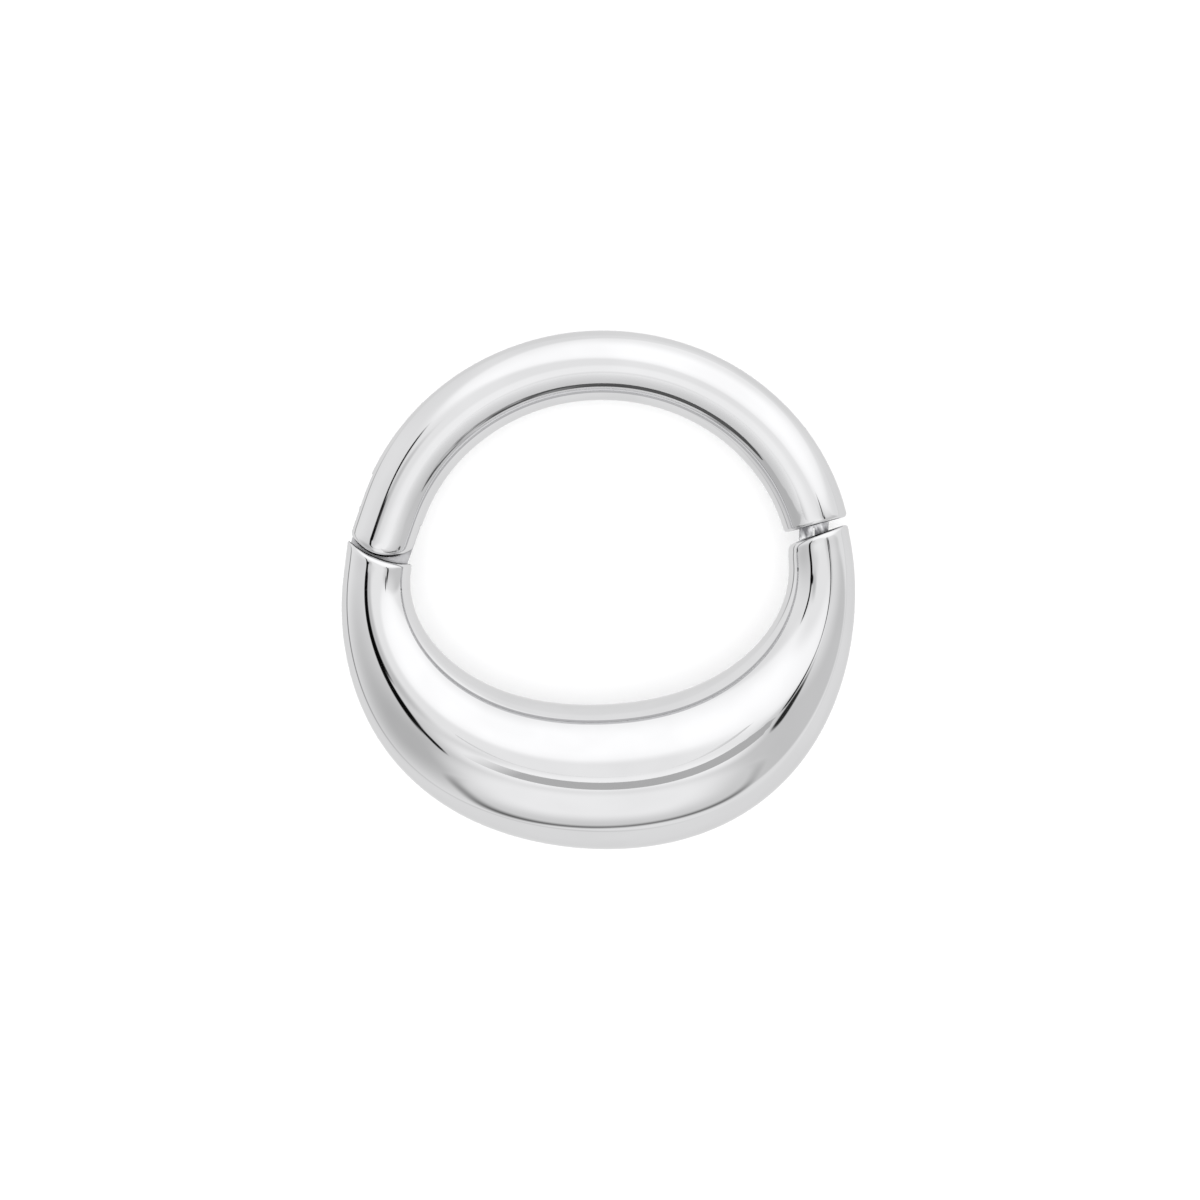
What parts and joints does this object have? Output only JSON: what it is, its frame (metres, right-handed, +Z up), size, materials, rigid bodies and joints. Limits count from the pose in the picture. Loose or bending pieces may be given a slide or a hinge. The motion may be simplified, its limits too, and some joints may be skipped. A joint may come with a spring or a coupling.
{
  "type": "hinged cartilage hoop earring",
  "caption": "Hinged hoop earring for a cartilage piercing: a plain round wire arc swings on a pin and clicks into the end of a thick polished crescent.",
  "frame": {"origin": "on the surface that the hoop lies on, under the middle of its outline", "axes": "+Z up from that surface, +Y from the crescent towards the wire arc, +X from the hinge towards the clasp"},
  "size_m": [0.009, 0.0092, 0.0026],
  "materials": {
    "crescent_steel": "mirror polish",
    "wire_steel": "mirror polish",
    "pin_steel": "turned and polished flush"
  },
  "bodies": {
    "crescent": {"crescent": "crescent_steel"},
    "wire_arc": {"wire_arc": "wire_steel", "hinge_pin": "pin_steel"}
  },
  "joints": [
    {"name": "hinge_swing", "type": "hinge", "parent": "crescent", "child": "wire_arc", "pos_m": [-0.00368, 0.00134, 0.00086], "axis": [0, 0.0938, 0.9956], "range_deg": [-0.75, 90]}
  ]
}
